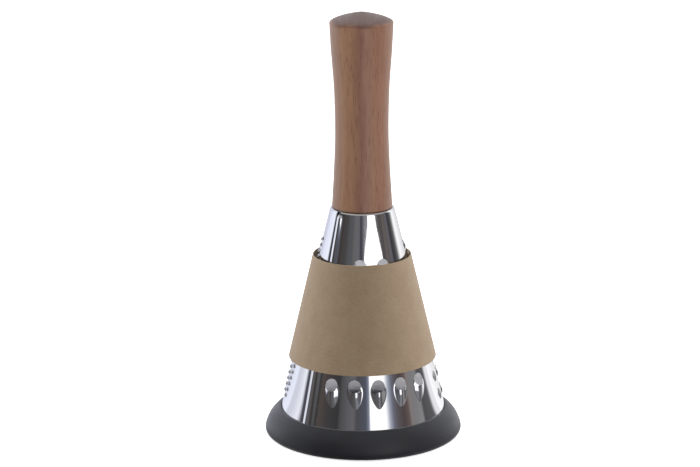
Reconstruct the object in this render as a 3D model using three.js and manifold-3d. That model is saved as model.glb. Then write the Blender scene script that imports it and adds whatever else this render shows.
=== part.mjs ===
// A bell-shaped hand grater: a rolled steel cone with three fields of punched teeth stands in a
// rubber foot, a turned wooden handle is screwed to its closed top, and a card sleeve is wrapped
// round the teeth. Millimetres, +Z up. The origin is on the ground under the middle of the foot,
// and angles are counted from the front (-Y) towards +X.
import * as THREE from "three";
import { mergeVertices } from "three/addons/utils/BufferGeometryUtils.js";
import Module from "manifold-3d";

const wasm = await Module();
wasm.setup();

const deg = Math.PI / 180;

// Fits shared by the pieces
const sideClearance = 0.3; // beside turned and cut faces
const seatClearance = 0.1; // between flat faces that bear on each other
const cutOverrun = 2; // how far a cutting solid runs past what it cuts
const mergeDistance = 1e-4;
const nudge = 1e-4;
const farCornerTimes = 50; // how many times the sheet's reach the first triangle spans

// Steel cone, by its outer face
const sheet = 0.6;
const rimRadius = 48.9;
const rimHeight = 3;
const topRadius = 17.7;
const topHeight = 129.8;
const shoulderRadius = 1.6;
const flangeHoleRadius = 12.5;
const coneSegments = 40;
const shoulderSegments = 3;

// Lap seam where the ends of the rolled sheet meet
const seamAngle = -45 * deg;
const seamLapAngle = 6 * deg;
const seamFadeAngle = 7 * deg;
const seamTopDrop = 2.6;
const seamFootGap = 0.6;
const seamSegments = 4;

// Coarse shredding teeth, on the front
const coarse = {
  centreAngle: 12 * deg,
  halfAngle: 40 * deg,
  footGap: 19.9,
  topGap: 31,
  rowPitch: 21.3,
  columnPitch: 13.1,
  firstColumnShare: 0,
  staggerShare: 0.5,
  width: 9.4,
  tail: 9.3,
  brow: 5.4,
  rise: 1.7,
  holeDiameter: 7.3,
  holeReach: 6.8,
  holeMargin: 0.7,
  rimPoints: 10,
  lipPoints: 2,
  bands: 3,
};

// Medium shredding teeth, on the right
const medium = {
  centreAngle: 118 * deg,
  halfAngle: 46 * deg,
  footGap: 9.6,
  topGap: 21.2,
  rowPitch: 10.5,
  columnPitch: 8.8,
  firstColumnShare: 0.5,
  staggerShare: 0,
  width: 4.6,
  tail: 3.4,
  brow: 2.4,
  rise: 1.1,
  holeDiameter: 3.2,
  holeReach: 2.9,
  holeMargin: 0.5,
  rimPoints: 6,
  lipPoints: 1,
  bands: 1,
};

// Fine rasping points, on the left, each punched out with a three-edged point
const fine = {
  centreAngle: 237 * deg,
  halfAngle: 46 * deg,
  footGap: 8.4,
  topGap: 16.5,
  rowPitch: 3.1,
  columnPitch: 11.2,
  firstColumnShare: 0,
  staggerShare: 0.5,
  rise: 0.8,
  baseDiameter: 3.4,
  holeDiameter: 1.7,
  edges: 3,
};

// Spacing of the plain sheet's own points between the teeth
const plainPitch = 9;
const plainGap = 4.4;

// Clamping plate pressed into the top of the cone
const plateThickness = 1.2;
const plateSkirt = 6;
const plateCornerRadius = 2.4;
const plateSegments = 28;

// Rubber foot, whose widths beyond the cone's rim follow its flare from the sole up
const footHeight = 15;
const footSoleWidth = 2.2;
const footSoleEdgeWidth = 4.6;
const footSoleEdgeHeight = 0.9;
const footWidestWidth = 6.2;
const footWidestHeight = 3.4;
const footFlankWidth = 4.3;
const footFlankHeight = 8.6;
const footWaistWidth = 1.6;
const footWaistHeight = 12.2;
const footLipWidth = 1.1;
const footInnerWall = 4.4;
const footInnerHeight = 8.6;
const footGrooveFloor = 2.6;
const footCurveSegments = 7;
const footSegments = 36;

// Wooden handle, turned, by its radii from the foot up
const handleLength = 108.65;
const handleDome = 5.8;
const handleDomeShoulderPower = 1.63; // a higher one keeps the dome wide for longer
const handleDomeCrownPower = 0.86; // a lower one flattens its middle
const handleSetback = 0.95; // from the cone's top edge
const handleLowerRadius = 15.42;
const handleWaistRadius = 14.73;
const handleUpperRadius = 15.25;
const handleShoulderRadius = 16.8;
const handleHeadRadius = 17.5;
const handleLowerShare = 0.216;
const handleWaistShare = 0.42;
const handleUpperShare = 0.65;
const handleShoulderShare = 0.865;
const handleFootEdge = 0.4;
const handleCurveSegments = 9;
const handleDomeSegments = 5;
const handleSegments = 32;

// Threaded insert in the handle
const insertRadius = 4.6;
const insertLength = 18;
const insertFlangeRadius = 6.4;
const insertFlangeThickness = 1.4;
const insertEndRelief = 3;
const insertSegments = 24;

// Screw, with its head inside the cone
const screwRadius = 3;
const screwInsertReach = 15;
const screwHeadRadius = 5.4;
const screwHeadHeight = 3.3;
const screwCrown = 1.2;
const screwTipBevel = 0.6;
const socketRadius = 2.3;
const socketDepth = 2;
const socketSides = 6;
const screwSegments = 24;

// Washers on the screw
const washerRadius = 8;
const washerThickness = 1.4;
const washerSegments = 24;
const springWasherRadius = 5.3;
const springWasherThickness = 1.5;
const springWasherRise = 0.5;
const springWasherGapAngle = 16 * deg;
const springWasherSegments = 24;

// Card sleeve, round the coarse teeth with some play
const card = 0.5;
const sleeveBottom = 44.5;
const sleeveTop = 103;
const sleeveBottomPlay = 0.3;
const sleeveTopPlay = 0.8;
const sleeveShift = -0.25;
const sleeveStartAngle = 160 * deg;
const sleeveLapAngle = 18 * deg;
const sleeveStepAngle = 10 * deg;
const sleeveGlue = 0.1;
const sleeveSegments = 50;

// What follows from the cone's sizes
const coneSlope = (rimRadius - topRadius) / (topHeight - rimHeight);
const coneAngle = Math.atan(coneSlope);
const apexHeight = topHeight + topRadius / coneSlope;
const wallRadius = (height) => (apexHeight - height) * coneSlope;
const insideRadius = (height) => wallRadius(height) - sheet / Math.cos(coneAngle);
const slantFromApex = (height) => (apexHeight - height) / Math.cos(coneAngle);
const flangeUnderside = topHeight - sheet;
const toothRadius = (height) => wallRadius(height) + coarse.rise / Math.cos(coneAngle);
const sleeveBottomRadius = toothRadius(sleeveBottom) + sleeveBottomPlay + card;
const sleeveTopRadius = toothRadius(sleeveTop) + sleeveTopPlay + card;
const handleFootRadius = topRadius - handleSetback;

// What follows from the stack under the handle
const handleBottom = topHeight + seatClearance;
const handleTop = handleBottom + handleLength;
const plateTop = flangeUnderside - seatClearance;
const plateUnderside = plateTop - plateThickness;
const washerTop = plateUnderside - seatClearance;
const washerUnderside = washerTop - washerThickness;
const springWasherTop = washerUnderside - seatClearance;
const springWasherUnderside = springWasherTop - springWasherThickness - springWasherRise;
const screwSeat = springWasherUnderside - seatClearance;
const screwClearRadius = screwRadius + sideClearance;

const finish = (color, roughness, metalness) =>
  new THREE.MeshStandardMaterial({ color, roughness, metalness });
const polishedSteel = finish(0xc9cbce, 0.08, 1);
const platedSteel = finish(0xa9adb2, 0.35, 1);
const brass = finish(0xb8963f, 0.35, 1);
const redBrownWood = finish(0x8a6048, 0.55, 0);
const blackRubber = finish(0x2c2c2e, 0.7, 0);
const kraftCard = finish(0x99805f, 0.9, 0);

// Turns a closed geometry into a solid that can be joined and cut.
function toSolid(geometry) {
  const bare = geometry.clone();
  bare.deleteAttribute("normal");
  bare.deleteAttribute("uv");
  const merged = mergeVertices(bare, mergeDistance);
  const mesh = new wasm.Mesh({
    numProp: 3,
    vertProperties: merged.attributes.position.array,
    triVerts: new Uint32Array(merged.index.array),
  });
  return new wasm.Manifold(mesh);
}

// Turns a solid back into a geometry.
function toGeometry(solid) {
  const mesh = solid.getMesh();
  const geometry = new THREE.BufferGeometry();
  const positions = new Float32Array(mesh.vertProperties);
  geometry.setAttribute("position", new THREE.BufferAttribute(positions, 3));
  geometry.setIndex(new THREE.BufferAttribute(new Uint32Array(mesh.triVerts), 1));
  geometry.computeVertexNormals();
  return geometry;
}

// Turns [radius, height] points about the Z axis. They go up the outside and down the inside,
// and close on themselves or on the axis.
function revolve(points, segments, start = 0) {
  const profile = points.map(([radius, height]) => new THREE.Vector2(radius, height));
  return new THREE.LatheGeometry(profile, segments, start).rotateX(Math.PI / 2);
}

// Points of an arc in a turned profile, both ends included.
function arc([centreRadius, centreHeight], radius, from, to, segments) {
  return Array.from({ length: segments + 1 }, (_, i) => {
    const angle = from + ((to - from) * i) / segments;
    return [
      centreRadius + radius * Math.cos(angle),
      centreHeight + radius * Math.sin(angle),
    ];
  });
}

// Points of a smooth curve through the given ones, both ends included.
function smooth(points, segments) {
  const curve = new THREE.SplineCurve(points.map(([x, y]) => new THREE.Vector2(x, y)));
  return curve.getPoints(segments).map((point) => [point.x, point.y]);
}

// A ring with a rectangular section.
function ring(innerRadius, outerRadius, bottom, top, segments) {
  const points = [
    [innerRadius, bottom],
    [outerRadius, bottom],
    [outerRadius, top],
    [innerRadius, top],
    [innerRadius, bottom],
  ];
  return revolve(points, segments);
}

// A closed strip wrapped round the axis. Each section holds an angle and four [radius, height]
// corners: inner bottom, outer bottom, outer top and inner top.
function wrap(sections) {
  const positions = [];
  const faces = [];
  sections.forEach(({ angle, corners }) => {
    corners.forEach(([radius, height]) => {
      positions.push(radius * Math.sin(angle), -radius * Math.cos(angle), height);
    });
  });
  const sides = 4;
  for (let i = 0; i < sections.length - 1; i++) {
    for (let side = 0; side < sides; side++) {
      const a = i * sides + side;
      const b = i * sides + ((side + 1) % sides);
      faces.push(a, a + sides, b, b, a + sides, b + sides);
    }
  }
  const last = (sections.length - 1) * sides;
  faces.push(0, 1, 2, 0, 2, 3);
  faces.push(last, last + 2, last + 1, last, last + 3, last + 2);
  const geometry = new THREE.BufferGeometry();
  geometry.setAttribute("position", new THREE.Float32BufferAttribute(positions, 3));
  geometry.setIndex(faces);
  geometry.computeVertexNormals();
  return geometry;
}

// A point of the rolled sheet, by its distance from the cone's apex down the wall, its angle
// round the axis, and how far it stands off the wall's outer face.
function rolled({ slant, angle }, lift) {
  const radius = slant * Math.sin(coneAngle) + lift * Math.cos(coneAngle);
  const height = apexHeight - slant * Math.cos(coneAngle) + lift * Math.sin(coneAngle);
  return new THREE.Vector3(radius * Math.sin(angle), -radius * Math.cos(angle), height);
}

// The same point in the flat sheet, a sector about the cone's apex.
function flat({ slant, angle }) {
  const turn = (angle - seamAngle - Math.PI) * Math.sin(coneAngle);
  return new THREE.Vector2(slant * Math.sin(turn), -slant * Math.cos(turn));
}

// A point given in the flat sheet, aside of a field's centre line and down from the apex.
function fromFlat(field, aside, down) {
  const turn = Math.atan2(aside, down);
  return {
    slant: Math.hypot(aside, down),
    angle: field.centreAngle + turn / Math.sin(coneAngle),
  };
}

// Where the teeth of a field stand in the flat sheet. Its columns are punched parallel to its
// centre line, so the outer ones lean once the sheet is rolled. Its rows lie level on the cone,
// between the gaps it keeps to the foot and to the top, and every second one may be staggered.
function fieldPlaces(field) {
  const places = [];
  const lowest = footHeight + field.footGap;
  const highest = topHeight - field.topGap;
  const rows = Math.round((highest - lowest) / field.rowPitch);
  const reach = Math.ceil(rimRadius / field.columnPitch) * 2;
  for (let row = 0; row <= rows; row++) {
    const slant = slantFromApex(lowest + row * field.rowPitch);
    const share = field.firstColumnShare + (row % 2) * field.staggerShare;
    for (let column = -reach; column <= reach; column++) {
      const aside = (column + share) * field.columnPitch;
      const widest = slant * Math.sin(field.halfAngle * Math.sin(coneAngle));
      if (Math.abs(aside) <= widest) {
        places.push({ aside, down: Math.sqrt(slant ** 2 - aside ** 2) });
      }
    }
  }
  return places;
}

// The edge of a shredding tooth's hole, from the right end of the lip over the top to its left
// end and back along the lip. X runs round the cone and Y up the wall, from the lip's middle.
function holeEdge(tooth) {
  const radius = tooth.holeDiameter / 2;
  const centre = tooth.holeReach - radius;
  const below = Math.asin(centre / radius);
  const lipHalf = Math.sqrt(radius ** 2 - centre ** 2);
  const arcSteps = tooth.rimPoints - tooth.lipPoints - 1;
  const over = arc([0, centre], radius, -below, Math.PI + below, arcSteps);
  const along = Array.from({ length: tooth.lipPoints }, (_, i) => [
    -lipHalf + (2 * lipHalf * (i + 1)) / (tooth.lipPoints + 1),
    0,
  ]);
  return [...over, ...along];
}

// Where the swelling round a shredding tooth runs out, by the same number of points: pointed
// below the lip, and round above the hole.
function swellingEdge(tooth) {
  const step = (2 * Math.PI) / tooth.rimPoints;
  const start = -Math.PI / 2 + ((tooth.lipPoints + 1) / 2) * step;
  return Array.from({ length: tooth.rimPoints }, (_, i) => {
    const angle = start + step * i;
    const reach = Math.sin(angle) < 0 ? tooth.tail : tooth.holeReach + tooth.holeMargin;
    return [(Math.cos(angle) * tooth.width) / 2, Math.sin(angle) * reach];
  });
}

// How high the sheet swells at a point near a tooth's lip.
function swellingLift(tooth, x, y) {
  const share = Math.hypot((2 * x) / tooth.width, y / (y < 0 ? tooth.tail : tooth.brow));
  return share < 1 ? tooth.rise * Math.sqrt(1 - share ** 2) : 0;
}

// A shredding tooth as rings of [x, y, lift] points, from the swelling's edge in to the hole.
function shreddingRings(tooth) {
  const outer = swellingEdge(tooth);
  const inner = holeEdge(tooth);
  return Array.from({ length: tooth.bands + 1 }, (_, band) =>
    outer.map(([outerX, outerY], i) => {
      const [innerX, innerY] = inner[i];
      const share = band / tooth.bands;
      const x = outerX + (innerX - outerX) * share;
      const y = outerY + (innerY - outerY) * share;
      return [x, y, band ? swellingLift(tooth, x, y) : 0];
    }),
  );
}

// A rasping point as rings of [x, y, lift] points: its foot, and the raised edge of its hole.
function raspingRings(tooth) {
  const ringOf = (radius, lift) =>
    Array.from({ length: tooth.edges }, (_, i) => {
      const angle = Math.PI / 2 + (2 * Math.PI * i) / tooth.edges;
      return [radius * Math.cos(angle), radius * Math.sin(angle), lift];
    });
  return [ringOf(tooth.baseDiameter / 2, 0), ringOf(tooth.holeDiameter / 2, tooth.rise)];
}

// The teeth of a field, each as rings of points of the sheet with their lift.
function fieldTeeth(field, rings) {
  return fieldPlaces(field).map(({ aside, down }) =>
    rings.map((points) =>
      points.map(([x, y, lift]) => ({ ...fromFlat(field, aside + x, down - y), lift })),
    ),
  );
}

// Shifts a flat point by far less than anything made here, so that no four points of a regular
// pattern lie on one circle.
function nudged({ x, y }, id) {
  const angle = id * id;
  return new THREE.Vector2(x + nudge * Math.cos(angle), y + nudge * Math.sin(angle));
}

// Joins flat points into triangles whose circles hold no other point, adding one point at a
// time. Returns triples of indices, anticlockwise.
function triangulate(points) {
  const reach = Math.max(...points.map((point) => point.length()));
  const corners = [0, 1, 2].map((i) => {
    const angle = Math.PI / 2 + (2 * Math.PI * i) / 3;
    const far = reach * farCornerTimes;
    return new THREE.Vector2(far * Math.cos(angle), far * Math.sin(angle));
  });
  const all = [...points.map(nudged), ...corners];
  const circled = (a, b, c) => {
    const [p, q, r] = [all[a], all[b], all[c]];
    const [bx, by] = [q.x - p.x, q.y - p.y];
    const [cx, cy] = [r.x - p.x, r.y - p.y];
    const twice = 2 * (bx * cy - by * cx);
    const x = (cy * (bx ** 2 + by ** 2) - by * (cx ** 2 + cy ** 2)) / twice;
    const y = (bx * (cx ** 2 + cy ** 2) - cx * (bx ** 2 + by ** 2)) / twice;
    return { ids: [a, b, c], x: p.x + x, y: p.y + y, square: x ** 2 + y ** 2 };
  };
  let triangles = [circled(points.length, points.length + 1, points.length + 2)];
  points.forEach((point, id) => {
    const { x, y } = all[id];
    const holds = (one) => (x - one.x) ** 2 + (y - one.y) ** 2 < one.square;
    const opened = triangles.filter(holds);
    const sides = opened.flatMap(({ ids: [a, b, c] }) => [
      [a, b],
      [b, c],
      [c, a],
    ]);
    const inner = new Set(sides.map(([a, b]) => `${b} ${a}`));
    const rim = sides.filter(([a, b]) => !inner.has(`${a} ${b}`));
    triangles = triangles.filter((one) => !holds(one));
    rim.forEach(([a, b]) => triangles.push(circled(a, b, id)));
  });
  return triangles.map((one) => one.ids).filter((ids) => Math.max(...ids) < points.length);
}

// The points of the plain sheet: its two edges, the line where its ends meet, and a loose
// pattern wherever the teeth leave room.
function plainPoints(bottom, top, teeth) {
  const edge = (slant) =>
    Array.from({ length: coneSegments + 1 }, (_, i) => ({
      slant,
      angle: seamAngle + (2 * Math.PI * i) / coneSegments,
    }));
  const rows = Math.round((bottom - top) / plainPitch);
  const slants = Array.from({ length: rows - 1 }, (_, i) => {
    return bottom + ((top - bottom) * (i + 1)) / rows;
  });
  const ends = slants.flatMap((slant) => [
    { slant, angle: seamAngle },
    { slant, angle: seamAngle + 2 * Math.PI },
  ]);
  const points = [...edge(bottom), ...edge(top), ...ends];
  const taken = [...points, ...teeth.flatMap((tooth) => tooth.flat())].map(flat);
  slants.forEach((slant, row) => {
    const around = Math.round((2 * Math.PI * slant * Math.sin(coneAngle)) / plainPitch);
    for (let i = 0; i < around; i++) {
      const share = (i + (row % 2) / 2) / around;
      const point = { slant, angle: seamAngle + 2 * Math.PI * share };
      const place = flat(point);
      if (taken.every((other) => other.distanceTo(place) > plainGap)) points.push(point);
    }
  });
  return points;
}

// The punched and rolled sheet, from its rim up to the shoulder: the outer face, the inner face
// a sheet's thickness behind it, and the edges of the holes. Returns corners of triangles.
function punchedWall(bottom, top) {
  const teeth = [
    ...fieldTeeth(coarse, shreddingRings(coarse)),
    ...fieldTeeth(medium, shreddingRings(medium)),
    ...fieldTeeth(fine, raspingRings(fine)),
  ];
  const corners = [];
  const face = (...points) => {
    const outside = points.map((point) => rolled(point, point.lift));
    const inside = points.map((point) => rolled(point, point.lift - sheet));
    corners.push(...outside, ...inside.reverse());
  };
  const points = plainPoints(bottom, top, teeth).map((point) => ({ ...point, lift: 0 }));
  const owners = points.map(() => null);
  teeth.forEach((tooth) => {
    tooth[0].forEach((point) => {
      points.push(point);
      owners.push(tooth);
    });
  });
  const beyond = [
    { slant: 0, angle: seamAngle + Math.PI },
    ...outsidePoints(bottom, top),
  ];
  triangulate([...points, ...beyond].map(flat)).forEach((ids) => {
    const [a, b, c] = ids.map((id) => owners[id]);
    const punched = a && a === b && b === c;
    if (Math.max(...ids) < points.length && !punched) face(...ids.map((id) => points[id]));
  });
  teeth.forEach((tooth) => {
    tooth.slice(1).forEach((ring, band) => {
      const around = tooth[band];
      ring.forEach((point, i) => {
        const next = (i + 1) % ring.length;
        face(around[i], around[next], point);
        face(around[next], ring[next], point);
      });
    });
    const edge = tooth.at(-1);
    edge.forEach((point, i) => {
      const next = edge[(i + 1) % edge.length];
      const [a, b] = [rolled(point, point.lift), rolled(next, next.lift)];
      const [c, d] = [rolled(point, point.lift - sheet), rolled(next, next.lift - sheet)];
      corners.push(a, b, c, b, d, c);
    });
  });
  return corners;
}

// Points outside the sheet that hold its edges straight while it is divided into triangles.
function outsidePoints(bottom, top) {
  const past = plainPitch / (bottom * Math.sin(coneAngle));
  const rows = Math.round((bottom - top) / plainPitch);
  const angles = [seamAngle - past, seamAngle + 2 * Math.PI + past];
  const beside = Array.from({ length: rows + 1 }, (_, i) =>
    angles.map((angle) => ({ slant: bottom + ((top - bottom) * i) / rows, angle })),
  ).flat();
  const below = Array.from({ length: coneSegments }, (_, i) => ({
    slant: bottom + plainPitch,
    angle: seamAngle + (2 * Math.PI * (i + 0.5)) / coneSegments,
  }));
  return [...beside, ...below];
}

// The rounded shoulder of a drawn cap: arcs of its outer and inner face, tangent to the flat top
// and to a wall that leans as the cone does.
function shoulder(wallAt, top, radius, thickness, segments) {
  const height = top - radius;
  const centre = [wallAt(height) - radius / Math.cos(coneAngle), height];
  const flat = Math.PI / 2;
  return {
    outer: arc(centre, radius, coneAngle, flat, segments),
    inner: arc(centre, radius - thickness, flat, coneAngle, segments),
  };
}

// The steel sheet of the cone, rolled and closed, with its shoulder and the flange that the
// handle stands on.
function coneSheet() {
  const { outer, inner } = shoulder(
    wallRadius,
    topHeight,
    shoulderRadius,
    sheet,
    shoulderSegments,
  );
  const cap = [
    ...outer,
    [flangeHoleRadius, topHeight],
    [flangeHoleRadius, flangeUnderside],
    ...inner,
  ];
  const bottom = slantFromApex(rimHeight);
  const top = slantFromApex(outer[0][1]);
  const inside = rolled({ slant: bottom, angle: Math.PI / 2 }, -sheet);
  const rim = [
    [inside.x, inside.z],
    [rimRadius, rimHeight],
  ];
  const turned = (points) =>
    revolve(points, coneSegments, seamAngle).toNonIndexed().attributes.position.array;
  const wall = punchedWall(bottom, top).flatMap((corner) => corner.toArray());
  const geometry = new THREE.BufferGeometry();
  const positions = [...turned(rim), ...turned(cap), ...wall];
  geometry.setAttribute("position", new THREE.Float32BufferAttribute(positions, 3));
  return geometry;
}

// A section of the lap seam, between two offsets from the wall's outer face.
function seamSection(angle, innerOffset, outerOffset) {
  const bottom = footHeight + seamFootGap;
  const top = topHeight - seamTopDrop;
  const corners = [
    [wallRadius(bottom) + innerOffset, bottom],
    [wallRadius(bottom) + outerOffset, bottom],
    [wallRadius(top) + outerOffset, top],
    [wallRadius(top) + innerOffset, top],
  ];
  return { angle, corners };
}

// The lap seam. The outer end of the sheet stands proud by its thickness and fades into the wall
// beyond the lap. Inside, the wall is hollowed by as much where the sheet has lifted.
function lapSeam() {
  const lapEnd = seamAngle + seamLapAngle;
  const outside = [seamSection(seamAngle, -sheet / 2, sheet)];
  const inside = [];
  for (let i = 0; i <= seamSegments; i++) {
    const share = i / seamSegments;
    const angle = lapEnd + seamFadeAngle * share;
    const lift = sheet * (1 - share);
    outside.push(seamSection(angle, -sheet / 2, lift));
    inside.push(seamSection(angle, -sheet - cutOverrun, lift - sheet));
  }
  return { added: toSolid(wrap(outside)), cut: toSolid(wrap(inside)) };
}

// The steel cone: the punched sheet with its lap seam.
function graterCone() {
  const { added, cut } = lapSeam();
  return toGeometry(toSolid(coneSheet()).add(added).subtract(cut));
}

// The cap that clamps the cone's flange to the handle, drawn from sheet with a skirt.
function topPlate() {
  const wallAt = (height) => insideRadius(height) - sideClearance;
  const { outer, inner } = shoulder(
    wallAt,
    plateTop,
    plateCornerRadius,
    plateThickness,
    shoulderSegments,
  );
  const bottom = plateUnderside - plateSkirt;
  const skirtInside = wallAt(bottom) - plateThickness / Math.cos(coneAngle);
  const points = [
    [skirtInside, bottom],
    [wallAt(bottom), bottom],
    ...outer,
    [screwClearRadius, plateTop],
    [screwClearRadius, plateUnderside],
    ...inner,
    [skirtInside, bottom],
  ];
  return revolve(points, plateSegments);
}

// The rubber foot: a flared ring with a groove that takes the cone's rim.
function rubberFoot() {
  const grooveOutside = (height) => wallRadius(height) + sideClearance;
  const grooveInside = (height) => insideRadius(height) - sideClearance;
  const boreRadius = grooveInside(footInnerHeight) - footInnerWall;
  const flare = smooth(
    [
      [rimRadius + footSoleWidth, 0],
      [rimRadius + footSoleEdgeWidth, footSoleEdgeHeight],
      [rimRadius + footWidestWidth, footWidestHeight],
      [rimRadius + footFlankWidth, footFlankHeight],
      [rimRadius + footWaistWidth, footWaistHeight],
      [grooveOutside(footHeight) + footLipWidth, footHeight],
    ],
    footCurveSegments,
  );
  const points = [
    [boreRadius, 0],
    ...flare,
    [grooveOutside(footHeight), footHeight],
    [grooveOutside(footGrooveFloor), footGrooveFloor],
    [grooveInside(footGrooveFloor), footGrooveFloor],
    [grooveInside(footInnerHeight), footInnerHeight],
    [boreRadius, footInnerHeight],
    [boreRadius, 0],
  ];
  return revolve(points, footSegments);
}

// The wooden handle, with a stepped bore for the threaded insert.
function woodHandle() {
  const ridge = handleTop - handleDome;
  const along = (share) => handleBottom + (ridge - handleBottom) * share;
  const flank = smooth(
    [
      [handleFootRadius, handleBottom + handleFootEdge],
      [handleLowerRadius, along(handleLowerShare)],
      [handleWaistRadius, along(handleWaistShare)],
      [handleUpperRadius, along(handleUpperShare)],
      [handleShoulderRadius, along(handleShoulderShare)],
      [handleHeadRadius, ridge],
    ],
    handleCurveSegments,
  );
  const dome = Array.from({ length: handleDomeSegments + 1 }, (_, i) => {
    const share = Math.sin((Math.PI / 2) * (i / handleDomeSegments));
    const width = (1 - share ** handleDomeShoulderPower) ** handleDomeCrownPower;
    return [handleHeadRadius * width, ridge + handleDome * share];
  });
  const boreRadius = insertRadius + sideClearance;
  const boreEnd = handleBottom + insertLength + insertEndRelief;
  const recessRadius = insertFlangeRadius + sideClearance;
  const recessEnd = handleBottom + insertFlangeThickness + seatClearance;
  const points = [
    [0, boreEnd],
    [boreRadius, boreEnd],
    [boreRadius, recessEnd],
    [recessRadius, recessEnd],
    [recessRadius, handleBottom],
    [handleFootRadius - handleFootEdge, handleBottom],
    ...flank,
    ...dome.slice(1, -1),
    [0, handleTop],
  ];
  return revolve(points, handleSegments);
}

// The brass insert that the screw threads into.
function threadedInsert() {
  const flangeEnd = handleBottom + insertFlangeThickness;
  const end = handleBottom + insertLength;
  const points = [
    [screwClearRadius, handleBottom],
    [insertFlangeRadius, handleBottom],
    [insertFlangeRadius, flangeEnd],
    [insertRadius, flangeEnd],
    [insertRadius, end],
    [screwClearRadius, end],
    [screwClearRadius, handleBottom],
  ];
  return revolve(points, insertSegments);
}

// The button-head screw, with a hexagon socket that faces down into the cone.
function handleScrew() {
  const headBottom = screwSeat - screwHeadHeight;
  const tip = handleBottom + screwInsertReach;
  const crownCentre = [screwHeadRadius - screwCrown, headBottom + screwCrown];
  const crown = arc(crownCentre, screwCrown, -Math.PI / 2, 0, shoulderSegments);
  const points = [
    [0, headBottom],
    ...crown,
    [screwHeadRadius, screwSeat],
    [screwRadius, screwSeat],
    [screwRadius, tip - screwTipBevel],
    [screwRadius - screwTipBevel, tip],
    [0, tip],
  ];
  const length = socketDepth + cutOverrun;
  const socket = new THREE.CylinderGeometry(socketRadius, socketRadius, length, socketSides)
    .rotateX(Math.PI / 2)
    .translate(0, 0, headBottom + (socketDepth - cutOverrun) / 2);
  return toGeometry(toSolid(revolve(points, screwSegments)).subtract(toSolid(socket)));
}

// The split spring washer, whose ends stand apart along the screw.
function springWasher() {
  const turn = 2 * Math.PI - springWasherGapAngle;
  const sections = Array.from({ length: springWasherSegments + 1 }, (_, i) => {
    const share = i / springWasherSegments;
    const low = springWasherUnderside + springWasherRise * share;
    const high = low + springWasherThickness;
    const corners = [
      [screwClearRadius, low],
      [springWasherRadius, low],
      [springWasherRadius, high],
      [screwClearRadius, high],
    ];
    return { angle: springWasherGapAngle / 2 + turn * share, corners };
  });
  return wrap(sections);
}

// The card sleeve: one strip rolled into a cone, whose end steps out over its start at the back
// and is glued down on it.
function paperSleeve() {
  const turn = 2 * Math.PI + sleeveLapAngle;
  const sections = Array.from({ length: sleeveSegments + 1 }, (_, i) => {
    const turned = (turn * i) / sleeveSegments;
    const climb = (turned - (2 * Math.PI - sleeveStepAngle)) / sleeveStepAngle;
    const lift = (card + sleeveGlue) * THREE.MathUtils.clamp(climb, 0, 1);
    const corners = [
      [sleeveBottomRadius - card + lift, sleeveBottom],
      [sleeveBottomRadius + lift, sleeveBottom],
      [sleeveTopRadius + lift, sleeveTop],
      [sleeveTopRadius - card + lift, sleeveTop],
    ];
    return { angle: sleeveStartAngle + turned, corners };
  });
  return wrap(sections);
}

const flatWasher = ring(
  screwClearRadius,
  washerRadius,
  washerUnderside,
  washerTop,
  washerSegments,
);

function piece(name, geometry, material) {
  const mesh = new THREE.Mesh(geometry, material);
  mesh.name = name;
  return mesh;
}

// The cone and its foot, with the handle fastened to them from inside, and the loose sleeve.
const graterHead = new THREE.Group();
graterHead.add(piece("grater_cone", graterCone(), polishedSteel));
graterHead.add(piece("rubber_foot", rubberFoot(), blackRubber));

const handleFastening = new THREE.Group();
handleFastening.add(piece("top_plate", topPlate(), platedSteel));
handleFastening.add(piece("flat_washer", flatWasher, platedSteel));
handleFastening.add(piece("spring_washer", springWasher(), platedSteel));
handleFastening.add(piece("handle_screw", handleScrew(), platedSteel));
handleFastening.add(piece("threaded_insert", threadedInsert(), brass));

const sleeve = piece("paper_sleeve", paperSleeve(), kraftCard);
sleeve.position.x = sleeveShift;

const handGrater = new THREE.Group();
handGrater.add(graterHead);
handGrater.add(handleFastening);
handGrater.add(piece("wood_handle", woodHandle(), redBrownWood));
handGrater.add(sleeve);

export default handGrater;
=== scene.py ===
# A bell-shaped hand grater: punched steel cone, rubber foot, turned handle and card sleeve.
from math import atan, atan2, ceil, cos, hypot, pi, radians, sin, sqrt

import bmesh
import bpy
import numpy as np
from mathutils import Matrix, Vector


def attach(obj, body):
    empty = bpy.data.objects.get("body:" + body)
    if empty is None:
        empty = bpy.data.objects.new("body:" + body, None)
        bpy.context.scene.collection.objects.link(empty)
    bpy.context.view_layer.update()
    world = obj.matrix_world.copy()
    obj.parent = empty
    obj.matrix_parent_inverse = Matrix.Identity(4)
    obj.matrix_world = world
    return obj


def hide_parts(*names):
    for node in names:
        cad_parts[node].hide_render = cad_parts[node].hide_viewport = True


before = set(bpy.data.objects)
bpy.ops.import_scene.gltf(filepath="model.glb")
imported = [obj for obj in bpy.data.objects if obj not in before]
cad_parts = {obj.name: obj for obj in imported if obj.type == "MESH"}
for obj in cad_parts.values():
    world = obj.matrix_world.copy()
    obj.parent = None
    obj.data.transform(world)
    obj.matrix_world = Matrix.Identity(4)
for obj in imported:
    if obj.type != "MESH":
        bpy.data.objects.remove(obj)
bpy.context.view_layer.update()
mm = 0.001  # the pieces are shaped in millimetres and scaled once at the end

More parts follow.
